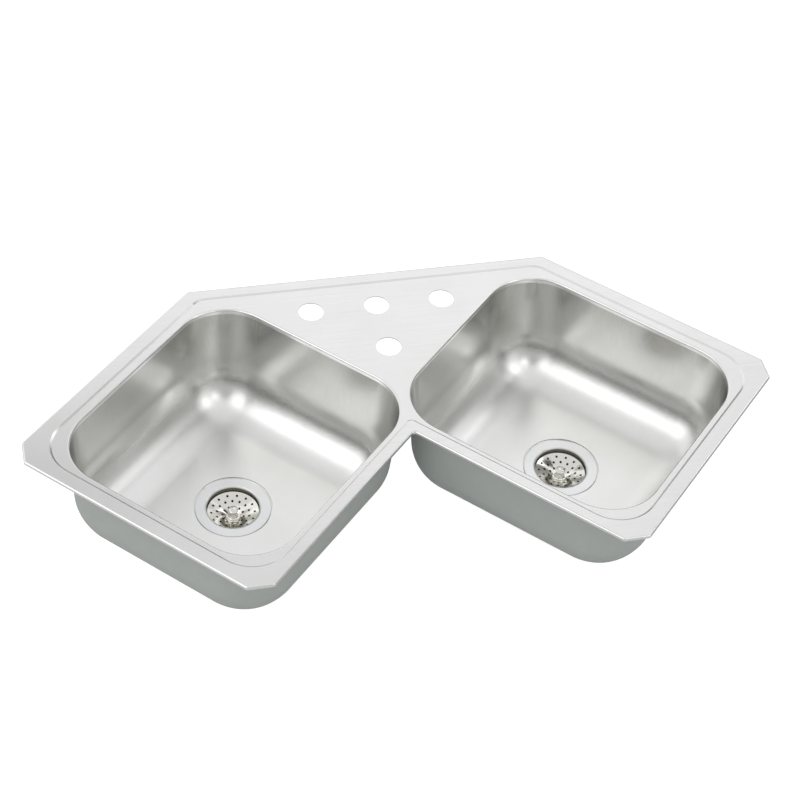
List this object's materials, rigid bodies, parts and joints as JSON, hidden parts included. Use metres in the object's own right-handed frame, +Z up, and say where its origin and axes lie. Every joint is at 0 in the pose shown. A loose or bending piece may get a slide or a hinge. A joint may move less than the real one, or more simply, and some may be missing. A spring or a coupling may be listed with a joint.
{
  "type": "corner kitchen sink",
  "caption": "Drop-in stainless corner sink: right-angled double-bowl deck with a diagonal tap ledge, raised rim and lift-out basket strainers.",
  "frame": {"origin": "centre of the middle tap hole, on the top face of the tap ledge", "axes": "+Z up; +X along the back wall, towards the end of the right wing; +Y towards the back wall. The left wing runs along the left wall, towards -Y"},
  "size_m": [0.8096, 0.8096, 0.3111],
  "materials": {
    "sink_steel": "satin brushed stainless sheet",
    "rail_steel": "zinc-coated steel strip",
    "damping_pad": "matt bitumen-rubber pad",
    "strainer_steel": "fine satin stainless",
    "polished_steel": "polished stainless",
    "plated_brass": "chromium-plated brass",
    "plain_brass": "turned brass",
    "cast_zinc": "die-cast zinc",
    "black_rubber": "moulded black rubber",
    "sealing_putty": "sealing compound",
    "fibre_ring": "pressed fibre",
    "white_plastic": "natural polyethylene"
  },
  "bodies": {
    "sink": {"deck": "sink_steel", "back_rail": "rail_steel", "right_seal_ring": "sealing_putty", "right_gasket": "black_rubber", "right_friction_ring": "fibre_ring", "right_tail_washer": "white_plastic", "right_bowl": "sink_steel", "right_sound_pad": "damping_pad", "right_strainer_body": "strainer_steel", "right_lock_nut": "cast_zinc", "right_coupling_nut": "plated_brass", "right_tailpiece": "plated_brass", "right_wall_rail": "rail_steel", "right_end_rail": "rail_steel", "right_front_rail": "rail_steel", "left_seal_ring": "sealing_putty", "left_gasket": "black_rubber", "left_friction_ring": "fibre_ring", "left_tail_washer": "white_plastic", "left_bowl": "sink_steel", "left_sound_pad": "damping_pad", "left_strainer_body": "strainer_steel", "left_lock_nut": "cast_zinc", "left_coupling_nut": "plated_brass", "left_tailpiece": "plated_brass", "left_wall_rail": "rail_steel", "left_end_rail": "rail_steel", "left_front_rail": "rail_steel"},
    "right_plug": {"right_stopper": "black_rubber"},
    "right_basket": {"right_basket_cup": "polished_steel", "right_basket_knob": "polished_steel", "right_basket_post": "plain_brass", "right_post_nut": "plain_brass"},
    "left_plug": {"left_stopper": "black_rubber"},
    "left_basket": {"left_basket_cup": "polished_steel", "left_basket_knob": "polished_steel", "left_basket_post": "plain_brass", "left_post_nut": "plain_brass"}
  },
  "joints": [
    {"name": "right_basket_lift", "type": "slide", "parent": "sink", "child": "right_plug", "axis": [0, 0, 1], "range_m": [0, 0.245]},
    {"name": "right_basket_turn", "type": "hinge", "parent": "right_plug", "child": "right_basket", "pos_m": [0.334, 0.026, -0.2206], "axis": [0, 0, 1], "continuous": true},
    {"name": "left_basket_lift", "type": "slide", "parent": "sink", "child": "left_plug", "axis": [0, 0, 1], "range_m": [0, 0.245]},
    {"name": "left_basket_turn", "type": "hinge", "parent": "left_plug", "child": "left_basket", "pos_m": [-0.026, -0.334, -0.2206], "axis": [0, 0, 1], "continuous": true}
  ]
}
